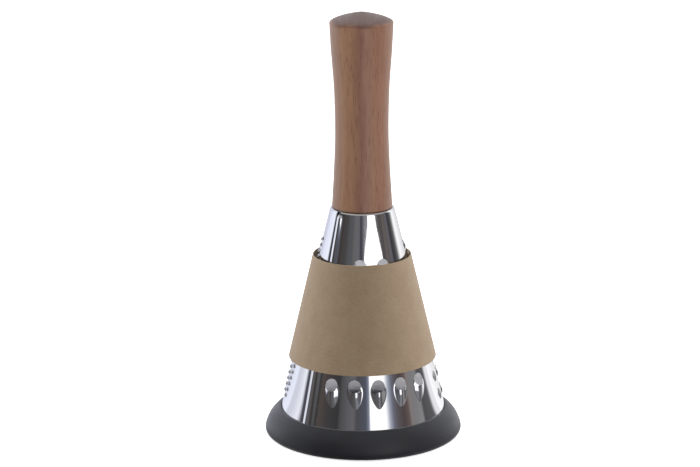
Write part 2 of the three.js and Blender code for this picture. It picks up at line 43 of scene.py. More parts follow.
print("stage: camera")
view = {
    "lens": 128.57,
    "sensor": 36.0,
    "elevation": radians(14.49),
    "roll": radians(-0.26),
    "target": Vector((0, 0, 114.3)),
    "distance": 1385.2,
    "shift": -0.0176,
    "clip": 100,
}
cameraData = bpy.data.cameras.new("photoCamera")
cameraData.lens = view["lens"]
cameraData.sensor_width = view["sensor"]
cameraData.shift_x = view["shift"]
cameraData.clip_end = view["clip"]
camera = bpy.data.objects.new("photoCamera", cameraData)
bpy.context.scene.collection.objects.link(camera)
backwards = Vector((0, -cos(view["elevation"]), sin(view["elevation"])))
camera.location = (view["target"] + backwards * view["distance"]) * mm
camera.rotation_mode = "QUATERNION"
camera.rotation_quaternion = backwards.to_track_quat("Z", "Y") @ Matrix.Rotation(
    view["roll"], 3, "Z"
).to_quaternion()
bpy.context.scene.camera = camera


# for materials
def newMaterial(name):
    material = bpy.data.materials.new(name)
    material.use_nodes = True
    return material, material.node_tree, material.node_tree.nodes["Principled BSDF"]


def addNode(tree, kind, inputs=None, **settings):
    node = tree.nodes.new(kind)
    for key, value in settings.items():
        setattr(node, key, value)
    for key, value in (inputs or {}).items():
        if isinstance(value, bpy.types.NodeSocket):
            tree.links.new(value, node.inputs[key])
        else:
            node.inputs[key].default_value = value
    return node


def objectPlace(tree, scale=(1, 1, 1), turn=(0, 0, 0), shift=(0, 0, 0)):
    place = addNode(tree, "ShaderNodeTexCoord").outputs["Object"]
    mapping = addNode(
        tree,
        "ShaderNodeMapping",
        {"Vector": place, "Scale": scale, "Rotation": turn, "Location": shift},
    )
    return mapping.outputs["Vector"]


def noiseOf(tree, place, scale, detail=3.0, roughness=0.5, distortion=0.0):
    return addNode(
        tree,
        "ShaderNodeTexNoise",
        {
            "Vector": place,
            "Scale": scale,
            "Detail": detail,
            "Roughness": roughness,
            "Distortion": distortion,
        },
    ).outputs["Fac"]


def rampOf(tree, fac, stops):
    ramp = addNode(tree, "ShaderNodeValToRGB", {"Fac": fac})
    elements = ramp.color_ramp.elements
    while len(elements) < len(stops):
        elements.new(0.5)
    for element, (position, colour) in zip(elements, stops):
        element.position = position
        element.color = (*colour, 1)
    return ramp.outputs["Color"]


def grey(value):
    return (value, value, value)


def setInputs(node, values):
    for key, value in values.items():
        node.inputs[key].default_value = value


def roughen(tree, shader, fac, stops):
    rough = rampOf(tree, fac, [(position, grey(value)) for position, value in stops])
    tree.links.new(rough, shader.inputs["Roughness"])


def rangeOf(tree, value, source, target, kind="LINEAR"):
    node = addNode(tree, "ShaderNodeMapRange", {"Value": value}, interpolation_type=kind)
    for key, number in zip(("From Min", "From Max", "To Min", "To Max"), (*source, *target)):
        node.inputs[key].default_value = number
    return node.outputs["Result"]


def mixOf(tree, fac, a, b, blend="MIX"):
    node = addNode(tree, "ShaderNodeMix", data_type="RGBA", blend_type=blend)
    for socket, value in zip((node.inputs[0], node.inputs[6], node.inputs[7]), (fac, a, b)):
        if isinstance(value, bpy.types.NodeSocket):
            tree.links.new(value, socket)
        else:
            socket.default_value = value if isinstance(value, (int, float)) else (*value, 1)
    return node.outputs[2]


def mathOf(tree, operation, a, b=0.0, clamp=False):
    node = addNode(tree, "ShaderNodeMath", {0: a, 1: b}, operation=operation)
    node.use_clamp = clamp
    return node.outputs[0]


def bumpOf(tree, height, strength, distance, under=None):
    inputs = {"Height": height, "Strength": strength, "Distance": distance}
    if under is not None:
        inputs["Normal"] = under
    return addNode(tree, "ShaderNodeBump", inputs).outputs["Normal"]


# for meshes
def makePiece(bm, name, materials, body, nodes):
    bmesh.ops.scale(bm, vec=(mm, mm, mm), verts=bm.verts)
    mesh = bpy.data.meshes.new(name)
    bm.to_mesh(mesh)
    bm.free()
    for material in materials:
        mesh.materials.append(material)
    mesh.shade_smooth()
    piece = bpy.data.objects.new(name, mesh)
    bpy.context.scene.collection.objects.link(piece)
    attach(piece, body)
    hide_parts(*nodes)
    print("piece:", name, len(mesh.vertices), "vertices")
    return piece


def roundPlace(radius, angle, height):
    return Vector((radius * sin(angle), -radius * cos(angle), height))


def spinProfile(bm, points, steps, start=0.0, closed=False):
    verts = [bm.verts.new(roundPlace(radius, start, height)) for radius, height in points]
    edges = [bm.edges.new(pair) for pair in zip(verts, verts[1:])]
    if closed:
        edges.append(bm.edges.new((verts[-1], verts[0])))
    bmesh.ops.spin(
        bm,
        geom=verts + edges,
        cent=(0, 0, 0),
        axis=(0, 0, 1),
        angle=2 * pi,
        steps=steps,
        use_merge=True,
    )


def roundEdges(bm, offset, segments, sharpest):
    # rounds each edge that bends by more than the angle sharpest
    sharp = [
        edge
        for edge in bm.edges
        if len(edge.link_faces) == 2 and edge.calc_face_angle(0) > sharpest
    ]
    bmesh.ops.bevel(
        bm,
        geom=sharp,
        offset=offset,
        offset_type="OFFSET",
        segments=segments,
        profile=0.5,
        affect="EDGES",
        clamp_overlap=True,
        material=-1,
    )


def turnedPiece(points, steps, rounding, closed=True):
    bm = bmesh.new()
    spinProfile(bm, points, steps, closed=closed)
    bmesh.ops.remove_doubles(bm, verts=bm.verts, dist=1e-4)
    roundEdges(bm, *rounding)
    bmesh.ops.recalc_face_normals(bm, faces=bm.faces)
    return bm


def smoothCurve(points, count):
    # a smooth curve through the points, in count steps
    curve = []
    last = len(points) - 1
    for i in range(count + 1):
        share = i / count * last
        k = min(int(share), last - 1)
        t = share - k
        p0, p1, p2, p3 = (Vector(points[min(max(j, 0), last)]) for j in range(k - 1, k + 3))
        v0, v1 = (p2 - p0) / 2, (p3 - p1) / 2
        place = (
            (2 * p1 - 2 * p2 + v0 + v1) * t**3
            + (-3 * p1 + 3 * p2 - 2 * v0 - v1) * t**2
            + v0 * t
            + p1
        )
        curve.append((place.x, place.y))
    return curve


def arcPoints(centre, radius, first, last, count):
    return [
        (centre[0] + radius * cos(a), centre[1] + radius * sin(a))
        for a in (first + (last - first) * i / count for i in range(count + 1))
    ]


# the steel cone is cut flat, rolled, then given its thickness
print("stage: punched cone")
cone = {
    "sheet": 0.6,
    "rimRadius": 48.9,
    "rimHeight": 3.0,
    "topRadius": 17.7,
    "topHeight": 129.8,
    "shoulderRadius": 1.6,
    "flangeHole": 12.5,
    "steps": 120,
    "shoulderSteps": 8,
    "joinMargin": 0.05,
    "joinReach": 2e-3,
}
seam = {
    "angle": radians(-45.5),
    "lap": radians(5.4),
    "fade": radians(5.5),
    "gap": 0.12,
    "topDrop": 1.45,  # where the raised end starts below the top
    "topRise": 1.8,
    "notchLow": 126.0,  # a notch is left open beside the raised end
    "notchSteps": 2,
    "notchTurns": (0, 0.25, 0.5, 0.75, 1),  # its lower corner is rounded
    "notchNarrow": 0.3,
    "notchRound": 1.2,
    "tailDrop": 8.0,
    "tailFootShares": (0.5, 0.9),
    "tailTopShares": (0.8, 0.4),
    "tailCorners": (1, 2),
    "foot": 9.0,
    "footLead": 0.7,
    "footRise": 0.8,
    "bulge": 0.5,  # how far the lap stands up behind its rolled-down end
    "rollWidth": 3.0,
    "cutsAcross": (0.4, 0.9, 1.5, 2.2, 4.0, 5.0, 7.5, 10.0),
    "cutsAlong": (8.3, 8.6, 9.0, 12, 18, 26, 36, 48, 60, 72, 84, 96, 106, 114, 120, 124, 126.6)
    + (127.0, 127.4, 127.8, 128.1, 128.3),
}
coarse = {
    "centre": radians(12),
    "half": radians(40),
    "lowest": 34.9,
    "highest": 98.8,
    "rowPitch": 21.3,
    "columnPitch": 13.1,
    "firstColumn": 0,
    "stagger": 0.5,
    "width": 7.9,
    "tail": 9.4,
    "brow": 5.6,
    "rise": 1.75,
    "blunt": 0.5,
    "fillet": 0.42,
    "skirt": 1.22,
    "hole": 7.1,
    "reach": 6.8,
    "margin": 1.0,
    "around": 56,
    "rings": 14,
}
medium = {
    "centre": radians(118),
    "half": radians(46),
    "lowest": 24.6,
    "highest": 108.6,
    "rowPitch": 10.5,
    "columnPitch": 8.8,
    "firstColumn": 0.5,
    "stagger": 0,
    "width": 4.3,
    "tail": 3.8,
    "brow": 2.5,
    "rise": 1.15,
    "blunt": 0.42,
    "fillet": 0.26,
    "skirt": 1.2,
    "hole": 3.2,
    "reach": 2.9,
    "margin": 0.6,
    "around": 22,
    "rings": 7,
}
fine = {
    "centre": radians(237),
    "half": radians(52),
    "lowest": 23.4,
    "highest": 113.3,
    "rowPitch": 1.75,
    "columnPitch": 11.2,
    "firstColumn": 0,
    "stagger": 0.5,
    "base": 3.1,
    "hole": 1.7,
    "rise": 0.9,
    "steepness": 1.6,
    "cornerMean": 0.72,  # three torn corners stand up between three low places
    "cornerSwing": 0.28,
    "holeMean": 0.85,
    "holeSwing": 0.15,
    "around": 12,
    "rings": 3,
}
punch = {
    "leafNarrowing": 1.6,
    "leafRoundness": 0.62,
    "ridge": 0.75,
    "crowding": 1.35,  # rings lie closer together near a tooth's outline
    "probe": 1e-3,  # the step over which a slope is read
}

coneSlope = (cone["rimRadius"] - cone["topRadius"]) / (cone["topHeight"] - cone["rimHeight"])
coneAngle = atan(coneSlope)
apexHeight = cone["topHeight"] + cone["topRadius"] / coneSlope
sheetTurn = sin(coneAngle)  # how far the flat sheet turns for each turn of the cone


def wallRadius(height):
    return (apexHeight - height) * coneSlope


def slantAt(height):
    return (apexHeight - height) / cos(coneAngle)


def turnAt(angle):
    return (angle - seam["angle"] - pi) * sheetTurn


def flatPoint(slant, angle):
    turn = turnAt(angle)
    return Vector((slant * sin(turn), -slant * cos(turn), 0))


def smoothStep(t):
    t = min(max(t, 0), 1)
    return t * t * (3 - 2 * t)


def leafWidth(down):
    # the swelling below the lip narrows to a point
    left = max(1 - min(down, 1) ** punch["leafNarrowing"], 0)
    return left ** punch["leafRoundness"]


def toothLift(tooth, x, y):
    # a swelling with a rounded ridge, cut off above its lip by the hole
    height = tooth["rise"]
    if y < 0:
        down = min(-y / tooth["tail"], 1)
        aside = abs(x) / max(tooth["width"] / 2 * leafWidth(down), 1e-6)
        height *= (1 - down**2) ** punch["ridge"]
    else:
        aside = hypot(x / (tooth["width"] / 2), y / tooth["brow"])
    blunt = tooth["blunt"] / max(leafWidth(-y / tooth["tail"]) if y < 0 else 1, 1e-3)
    fall = (hypot(aside, blunt) - blunt) / (hypot(1, blunt) - blunt)
    lift = height * (1 - fall)
    reach = tooth["fillet"] * height / tooth["rise"]
    overlap = max(reach - abs(lift), 0)
    return max(lift, 0) + overlap * overlap / max(4 * reach, 1e-6)


def pointLift(tooth, x, y):
    # a small burst with three torn corners
    outer, inner = tooth["base"] / 2, tooth["hole"] / 2
    away = min(max((outer - hypot(x, y)) / (outer - inner), 0), 1)
    swing = tooth["cornerSwing"] * cos(3 * (atan2(y, x) - pi / 2))
    corners = tooth["cornerMean"] + swing
    return tooth["rise"] * away ** tooth["steepness"] * (1 - (1 - corners) * away)


def toothOutline(tooth, angle):
    half = tooth["width"] / 2 * tooth["skirt"]
    if sin(angle) < 0:
        across = half * leafWidth(-sin(angle)) * (1 if cos(angle) > 0 else -1)
        return across, tooth["tail"] * sin(angle)
    return half * cos(angle), (tooth["reach"] + tooth["margin"]) * sin(angle)


def toothHole(tooth, angle):
    radius = tooth["hole"] / 2
    return radius * cos(angle), max(tooth["reach"] - radius + radius * sin(angle), 0)


def pointOutline(tooth, angle):
    return tooth["base"] / 2 * cos(angle), tooth["base"] / 2 * sin(angle)


def pointHole(tooth, angle):
    swing = tooth["holeSwing"] * cos(3 * (angle - pi / 2))
    radius = tooth["hole"] / 2 * (tooth["holeMean"] - swing)
    return radius * cos(angle), radius * sin(angle)


def punchedPatch(tooth, outline, hole, lift):
    # rings from the swelling's outline in to the hole, turned to lie along the field
    bm = bmesh.new()
    skin = bm.verts.layers.float_vector.new("skin")
    bmesh.ops.create_circle(bm, segments=tooth["around"], radius=2)
    bmesh.ops.create_circle(bm, segments=tooth["around"], radius=1)
    radial = bmesh.ops.bridge_loops(bm, edges=bm.edges)["edges"]
    bmesh.ops.subdivide_edges(bm, edges=radial, cuts=tooth["rings"] - 1, use_grid_fill=True)
    turn = turnAt(tooth["centre"])
    step = punch["probe"]
    for vert in bm.verts:
        angle = atan2(vert.co.y, vert.co.x)
        inwards = 2 - vert.co.xy.length
        share = inwards ** punch["crowding"] if inwards > 0 else 0
        outer, inner = Vector(outline(tooth, angle)), Vector(hole(tooth, angle))
        x, y = outer.lerp(inner, min(max(share, 0), 1))
        aside = (lift(tooth, x + step, y) - lift(tooth, x - step, y)) / (2 * step)
        along = (lift(tooth, x, y + step) - lift(tooth, x, y - step)) / (2 * step)
        onEdge = share < 1e-4
        vert[skin] = (
            0 if onEdge else lift(tooth, x, y),
            0 if onEdge else aside * cos(turn) - along * sin(turn),
            0 if onEdge else aside * sin(turn) + along * cos(turn),
        )
        vert.co = (x * cos(turn) - y * sin(turn), x * sin(turn) + y * cos(turn), 0)
    mesh = bpy.data.meshes.new("patch")
    bm.to_mesh(mesh)
    bm.free()
    return mesh


def fieldPlaces(field):
    # columns are punched parallel in the flat sheet, rows lie level on the cone
    places = []
    turn = turnAt(field["centre"])
    rows = round((field["highest"] - field["lowest"]) / field["rowPitch"])
    reach = ceil(cone["rimRadius"] / field["columnPitch"]) * 2
    for row in range(rows + 1):
        slant = slantAt(field["lowest"] + row * field["rowPitch"])
        share = field["firstColumn"] + (row % 2) * field["stagger"]
        widest = slant * sin(field["half"] * sheetTurn)
        for column in range(-reach, reach + 1):
            aside = (column + share) * field["columnPitch"]
            if abs(aside) <= widest:
                down = sqrt(slant**2 - aside**2)
                x = aside * cos(turn) + down * sin(turn)
                y = aside * sin(turn) - down * cos(turn)
                places.append(Vector((x, y, 0)))
    return places


def addPatches(bm, patch, places):
    for place in places:
        before = len(bm.verts)
        bm.from_mesh(patch)
        bm.verts.ensure_lookup_table()
        bmesh.ops.translate(bm, vec=place, verts=bm.verts[before:])


def shoulderCentre():
    height = cone["topHeight"] - cone["shoulderRadius"]
    reach = wallRadius(height) - cone["shoulderRadius"] / cos(coneAngle)
    return reach, height


shoulderStart = arcPoints(shoulderCentre(), cone["shoulderRadius"], coneAngle, pi / 2, 1)[0]


def sheetOutline():
    # the flat sheet's edge: rim, tail under the lap, notch beside the raised end, and top
    turnStep = 2 * pi / cone["steps"]
    start, end = seam["angle"], seam["angle"] + 2 * pi
    rim, top = slantAt(cone["rimHeight"]), slantAt(shoulderStart[1])
    rimLine = [(rim, start + turnStep * i) for i in range(cone["steps"] + 1)]
    tailTop = slantAt(cone["topHeight"] - seam["tailDrop"])
    tailFoot = slantAt(seam["foot"])
    tail = [(tailFoot, end)]
    tail += [(tailFoot, end + seam["lap"] * share) for share in seam["tailFootShares"]]
    lowCorner, highCorner = seam["tailCorners"]
    tail.append((tailFoot - lowCorner, end + seam["lap"]))
    tail.append((tailTop + highCorner, end + seam["lap"]))
    tail += [(tailTop, end + seam["lap"] * share) for share in seam["tailTopShares"]]
    low, across = slantAt(seam["notchLow"]), turnStep * seam["notchSteps"]
    notch = [(tailTop, end), (low, end)]
    narrow = seam["notchNarrow"]
    for turn in seam["notchTurns"]:
        aside = across * (narrow + (1 - narrow) * sin(turn * pi / 2))
        rise = seam["notchRound"] * (1 - cos(turn * pi / 2))
        notch.append((low - rise, end - aside))
    topLine = [(top, end - turnStep * i) for i in range(seam["notchSteps"], cone["steps"] + 1)]
    joined = [(slantAt(cone["topHeight"] - seam["topDrop"]), start)]
    places = rimLine + tail + notch + topLine + joined
    return [flatPoint(slant, angle) for slant, angle in places]


def lapLift(slant, angle):
    # the sheet's outer end rides on the inner one and comes down again beyond it
    height = apexHeight - slant * cos(coneAngle)
    across = angle - seam["angle"]
    share = 1 - smoothStep((across - seam["lap"]) / seam["fade"])
    up = smoothStep((cone["topHeight"] - seam["topDrop"] - height) / seam["topRise"])
    down = smoothStep((height - seam["foot"] + seam["footLead"]) / seam["footRise"])
    away = across * slant * sin(coneAngle)
    fromEnd = max(1 - away / seam["rollWidth"], 0) if away >= 0 else 1
    bulge = seam["bulge"] * (1 - fromEnd**2)
    return (cone["sheet"] + seam["gap"] + bulge) * share * up * down


def rollSheet(bm, skin, back, outward):
    # each flat point goes to its place on the cone, with the way its face looks
    step = punch["probe"]
    for vert in bm.verts:
        x, y = vert.co.x, vert.co.y
        height, slopeX, slopeY = vert[skin]
        slant, turn = hypot(x, y), atan2(x, -y)
        angle = turn / sheetTurn + seam["angle"] + pi
        lift = height + lapLift(slant, angle)
        alongTurn = (lapLift(slant, angle + step) - lapLift(slant, angle - step)) / (2 * step)
        alongTurn /= slant * sheetTurn
        alongSlant = (lapLift(slant + step, angle) - lapLift(slant - step, angle)) / (2 * step)
        alongSlant += slopeX * sin(turn) - slopeY * cos(turn)
        alongTurn += slopeX * cos(turn) + slopeY * sin(turn)
        off = roundPlace(cos(coneAngle), angle, sin(coneAngle))
        down = roundPlace(sin(coneAngle), angle, -cos(coneAngle))
        side = Vector((cos(angle), sin(angle), 0))
        wall = roundPlace(slant * sin(coneAngle), angle, apexHeight - slant * cos(coneAngle))
        vert.co = wall + off * lift
        vert[back] = wall + off * (lift - cone["sheet"])
        vert[outward] = (off - down * alongSlant - side * alongTurn).normalized()


def addShoulder(bm, back, outward):
    centre = shoulderCentre()
    radius = cone["shoulderRadius"]
    arc = arcPoints(centre, radius, coneAngle, pi / 2, cone["shoulderSteps"])
    before = len(bm.verts)
    spinProfile(bm, arc + [(cone["flangeHole"], cone["topHeight"])], cone["steps"], seam["angle"])
    bm.verts.ensure_lookup_table()
    turnStep = 2 * pi / cone["steps"]
    cut = []
    for face in {face for vert in bm.verts[before:] for face in vert.link_faces}:
        middle = face.calc_center_median()
        turned = atan2(middle.x, -middle.y) - seam["angle"]
        if middle.xy.length > centre[0] and -seam["notchSteps"] < turned / turnStep < 1:
            cut.append(face)
    for vert in bm.verts[before:]:
        reach, height = vert.co.xy.length, vert.co.z
        angle = atan2(vert.co.x, -vert.co.y)
        onArc = reach > centre[0] + 1e-3
        tilt = atan2(height - centre[1], reach - centre[0]) if onArc else pi / 2
        facing = (cos(tilt), sin(tilt))
        vert[outward] = roundPlace(facing[0], angle, facing[1])
        sheet = cone["sheet"]
        vert[back] = roundPlace(reach - sheet * facing[0], angle, height - sheet * facing[1])
    bmesh.ops.delete(bm, geom=cut, context="FACES")


def cutFaces(bm, faces, place, across):
    geom = set(faces)
    for face in faces:
        geom.update(face.edges, face.verts)
    bmesh.ops.bisect_plane(bm, geom=list(geom), dist=1e-4, plane_co=place, plane_no=across)


def cutLap(bm, zone):
    # the raised end bends sharply, so it gets more places along and across
    reach = turnAt(seam["angle"] + seam["lap"] + seam["fade"])
    first = turnAt(seam["angle"])

    def nearLap(nearest=0):
        near = []
        for face in bm.faces:
            middle = face.calc_center_median()
            inReach = first < atan2(middle.x, -middle.y) < reach
            if face[zone] == 0 and inReach and middle.length > nearest:
                near.append(face)
        return near

    along = Vector((sin(first), -cos(first), 0))
    for height in seam["cutsAlong"]:
        cutFaces(bm, nearLap(), along * slantAt(height), along)
    # the top line keeps its places, where the shoulder joins it
    highest = slantAt(seam["cutsAlong"][-1])
    for aside in seam["cutsAcross"]:
        turn = turnAt(seam["angle"] + radians(aside))
        cutFaces(bm, nearLap(highest), (0, 0, 0), (cos(turn), sin(turn), 0))


def cutSteel():
    bm = bmesh.new()
    skin = bm.verts.layers.float_vector.new("skin")
    for field, shape in (
        (coarse, (toothOutline, toothHole, toothLift)),
        (medium, (toothOutline, toothHole, toothLift)),
        (fine, (pointOutline, pointHole, pointLift)),
    ):
        patch = punchedPatch(field, *shape)
        places = fieldPlaces(field)
        addPatches(bm, patch, places)
        bpy.data.meshes.remove(patch)
        print("teeth:", len(places))
    zone = bm.faces.layers.int.new("zone")
    for face in bm.faces:
        face[zone] = 1
    outlines = []
    for edge in bm.edges:
        if edge.is_boundary and all(abs(vert[skin][0]) < 1e-7 for vert in edge.verts):
            outlines.append(edge)
    border = [bm.verts.new(place) for place in sheetOutline()]
    outlines += [bm.edges.new(pair) for pair in zip(border, border[1:] + border[:1])]
    bmesh.ops.triangle_fill(bm, use_beauty=True, edges=outlines, normal=(0, 0, 1))
    for i in range(1, cone["steps"] + 1):
        turn = turnAt(seam["angle"] + 2 * pi * i / cone["steps"])
        plain = [face for face in bm.faces if face[zone] == 0]
        cutFaces(bm, plain, (0, 0, 0), (cos(turn), sin(turn), 0))
    cutLap(bm, zone)
    back = bm.verts.layers.float_vector.new("back")
    outward = bm.verts.layers.float_vector.new("outward")
    rollSheet(bm, skin, back, outward)
    addShoulder(bm, back, outward)
    joinHeight = cone["topHeight"] - seam["topDrop"] - cone["joinMargin"]
    upper = [vert for vert in bm.verts if vert.co.z > joinHeight]
    bmesh.ops.remove_doubles(bm, verts=upper, dist=cone["joinReach"])
    return bm, back


def thicken(bm, back):
    # a copy of every face goes to the back, and walls close the cut edges
    outer = list(bm.faces)
    for face in outer:
        face.material_index = 0
    geom = outer + list(bm.edges) + list(bm.verts)
    result = bmesh.ops.extrude_face_region(bm, geom=geom, use_keep_orig=True)["geom"]
    for item in result:
        if isinstance(item, bmesh.types.BMVert):
            item.co = item[back]
        elif isinstance(item, bmesh.types.BMFace):
            item.material_index = 1
    known = set(outer) | {item for item in result if isinstance(item, bmesh.types.BMFace)}
    for face in bm.faces:
        if face not in known:
            face.material_index = 2
    bmesh.ops.recalc_face_normals(bm, faces=bm.faces)
    print("open edges:", sum(not edge.is_manifold for edge in bm.edges))


def setNormals(mesh):
    # the exact way each face of the sheet looks, so that the polish mirrors cleanly
    vectors = np.zeros(len(mesh.vertices) * 3, np.float32)
    mesh.attributes["outward"].data.foreach_get("vector", vectors)
    vectors = vectors.reshape(-1, 3)
    corners = np.zeros(len(mesh.loops), np.int32)
    mesh.loops.foreach_get("vertex_index", corners)
    sides = np.zeros(len(mesh.polygons), np.int32)
    mesh.polygons.foreach_get("material_index", sides)
    counts = np.zeros(len(mesh.polygons), np.int32)
    mesh.polygons.foreach_get("loop_total", counts)
    sign = np.repeat(np.choose(sides, [1.0, -1.0, 0.0]), counts)
    mesh.normals_split_custom_set((vectors[corners] * sign[:, None]).tolist())


steel = {
    "colour": (0.80, 0.80, 0.815, 1),
    "rubbedScale": (900, 900, 14),
    "roughness": ((0.3, 0.02), (0.75, 0.06)),
    "dentScale": (45, 45, 18),
    "dentDepth": 0.00006,
    "lineStrength": 0.25,
    "lineDepth": 0.000003,
    "inside": (0.46, 0.455, 0.47, 1),
    "insideMetallic": 0.35,
    "insideScale": (300, 300, 60),
    "insideRoughness": ((0.3, 0.5), (0.7, 0.62)),
}


def polishedSteel():
    material, tree, shader = newMaterial("polishedSteel")
    setInputs(shader, {"Base Color": steel["colour"], "Metallic": 1})
    rubbed = noiseOf(tree, objectPlace(tree, steel["rubbedScale"]), 1, 4, 0.6)
    roughen(tree, shader, rubbed, steel["roughness"])
    dents = noiseOf(tree, objectPlace(tree, steel["dentScale"]), 1, 2, 0.5)
    waves = bumpOf(tree, dents, 1.0, steel["dentDepth"])
    fineLines = bumpOf(tree, rubbed, steel["lineStrength"], steel["lineDepth"], waves)
    tree.links.new(fineLines, shader.inputs["Normal"])
    return material


def innerSteel():
    material, tree, shader = newMaterial("innerSteel")
    setInputs(shader, {"Base Color": steel["inside"], "Metallic": steel["insideMetallic"]})
    speckle = noiseOf(tree, objectPlace(tree, steel["insideScale"]), 1, 3)
    roughen(tree, shader, speckle, steel["insideRoughness"])
    return material


sheetBm, backLayer = cutSteel()
thicken(sheetBm, backLayer)
polish = polishedSteel()
sides = [polish, innerSteel(), polish]  # outside, inside and cut edges
graterSheet = makePiece(
    sheetBm, "graterSheet", sides, "grater", ["grater_cone"]
)
setNormals(graterSheet.data)
for layerName in ("skin", "back", "outward", "zone"):
    if layerName in graterSheet.data.attributes:
        graterSheet.data.attributes.remove(graterSheet.data.attributes[layerName])

# rubber foot
print("stage: foot")
foot = {
    "height": 15.0,
    "clearance": 0.06,
    "lip": 1.3,
    "groove": 2.6,
    "bore": 42.2,
    "innerHeight": 8.6,
    "steps": 160,
    "flare": ((51.1, 0.0), (53.9, 0.7), (55.1, 3.4), (53.2, 8.6), (50.5, 12.2)),
    "flareSteps": 22,
    "rounding": (0.35, 3, radians(40)),  # offset, segments, and the least bend rounded
    "tones": ((0.3, (0.011, 0.011, 0.014)), (0.75, (0.0175, 0.018, 0.0225))),
    "patchScale": 70,
    "roughness": ((0.3, 0.42), (0.7, 0.55)),
    "grainScale": 2600,
    "grainStrength": 0.35,
    "grainDepth": 0.00006,
    "sheen": {
        "Specular IOR Level": 0.45,
        "Sheen Weight": 0.33,
        "Sheen Roughness": 0.45,
        "Sheen Tint": (0.93, 0.95, 1.0, 1),
    },
}


def rubberMaterial():
    material, tree, shader = newMaterial("footRubber")
    patches = noiseOf(tree, objectPlace(tree), foot["patchScale"], 4, 0.6)
    tree.links.new(rampOf(tree, patches, foot["tones"]), shader.inputs["Base Color"])
    roughen(tree, shader, patches, foot["roughness"])
    grain = noiseOf(tree, objectPlace(tree), foot["grainScale"], 2, 0.6)
    relief = bumpOf(tree, grain, foot["grainStrength"], foot["grainDepth"])
    tree.links.new(relief, shader.inputs["Normal"])
    setInputs(shader, foot["sheen"])
    return material


def moulding():
    top = foot["height"]
    outside = wallRadius(top) + foot["clearance"]
    lipTop = (outside + foot["lip"], top)
    flare = smoothCurve([*foot["flare"], lipTop], foot["flareSteps"])
    groove = foot["groove"]
    inner = cone["sheet"] / cos(coneAngle) + foot["clearance"]
    points = [
        (foot["bore"], 0),
        *flare,
        (outside, top),
        (wallRadius(groove) + foot["clearance"], groove),
        (wallRadius(groove) - inner, groove),
        (wallRadius(foot["innerHeight"]) - inner, foot["innerHeight"]),
        (foot["bore"], foot["innerHeight"]),
    ]
    return turnedPiece(points, foot["steps"], foot["rounding"])


makePiece(
    moulding(), "footRing", [rubberMaterial()], "grater", ["rubber_foot"]
)

# handle
print("stage: handle")
handle = {
    "bottom": 129.9,
    "length": 108.65,
    "dome": 5.8,
    "domePowers": (1.63, 0.86),
    "edge": 0.4,
    "radii": (
        *((0, 16.75), (0.216, 15.42), (0.42, 14.73)),
        *((0.65, 15.25), (0.865, 16.8), (1, 17.5)),
    ),
    "boardHalf": 20,
    "layers": (  # tones across the board, by x
        (-17, (0.330, 0.215, 0.160)),
        (-12, (0.330, 0.190, 0.126)),
        (-8.5, (0.395, 0.215, 0.130)),
        (-5.5, (0.425, 0.232, 0.142)),
        (-3.6, (0.395, 0.212, 0.136)),
        (-1.8, (0.345, 0.172, 0.116)),
        (0.2, (0.350, 0.178, 0.132)),
        (1.6, (0.395, 0.212, 0.152)),
        (4.0, (0.365, 0.200, 0.136)),
        (6.5, (0.375, 0.200, 0.130)),
        (9.0, (0.335, 0.172, 0.114)),
        (12.0, (0.290, 0.150, 0.098)),
        (16.0, (0.300, 0.180, 0.128)),
    ),
    "streaks": ((0.3, (0.88, 0.83, 0.83)), (0.5, (1.0, 1.0, 1.0)), (0.7, (1.06, 1.10, 1.08))),
    "wander": 0.011,
    "grainTones": ((0.25, grey(0.84)), (0.7, grey(1.10))),
    "grainStrength": 0.75,
    "poreMask": ((0.60, grey(0)), (0.70, grey(1))),
    "poreStrength": 0.4,
    "poreColour": (0.12, 0.05, 0.032),
    "shadeHeights": (0.132, 0.195),  # the wood is a little darker lower down
    "shade": (0.89, 1.0),
    "endGrain": ((0.3, (0.118, 0.080, 0.072)), (0.7, (0.175, 0.123, 0.111))),
    "dotMask": ((0.58, grey(0)), (0.68, grey(0.4))),
    "dotColour": (0.09, 0.06, 0.052),
    "endStart": 0.0014,  # the end grain starts this far above the ridge, unevenly
    "uneven": 0.003,
    "edgeSharpness": 600,
    # painted shade along the dome's edge: the next keys darken the wood and the end grain there
    "edgeShadeRise": 0.0006,
    "edgeShadeMask": ((0.4, grey(0.4)), (0.6, grey(0.9))),
    "edgeShadeShift": 0.002,
    "edgeShadeReach": (0.005, 0.014),  # the painted shade on the edge is darkest near the middle
    "edgeShadeShares": (1.0, 0.2),
    "edgeShadeBody": (0.11, 0.058, 0.043),
    "edgeShadeEnd": (0.085, 0.05, 0.04),
    "roughness": ((0.3, 0.46), (0.7, 0.58)),
    "sheen": {"Specular IOR Level": 0.42, "Sheen Weight": 0.16, "Sheen Roughness": 0.35},
    "boreRadius": 4.9,
    "boreLength": 21.0,
    "recessRadius": 6.7,
    "recess": 1.5,
    "domeSteps": 26,
    "flankSteps": 64,
    "steps": 128,
    "rounding": (0.35, 3, radians(25)),
}


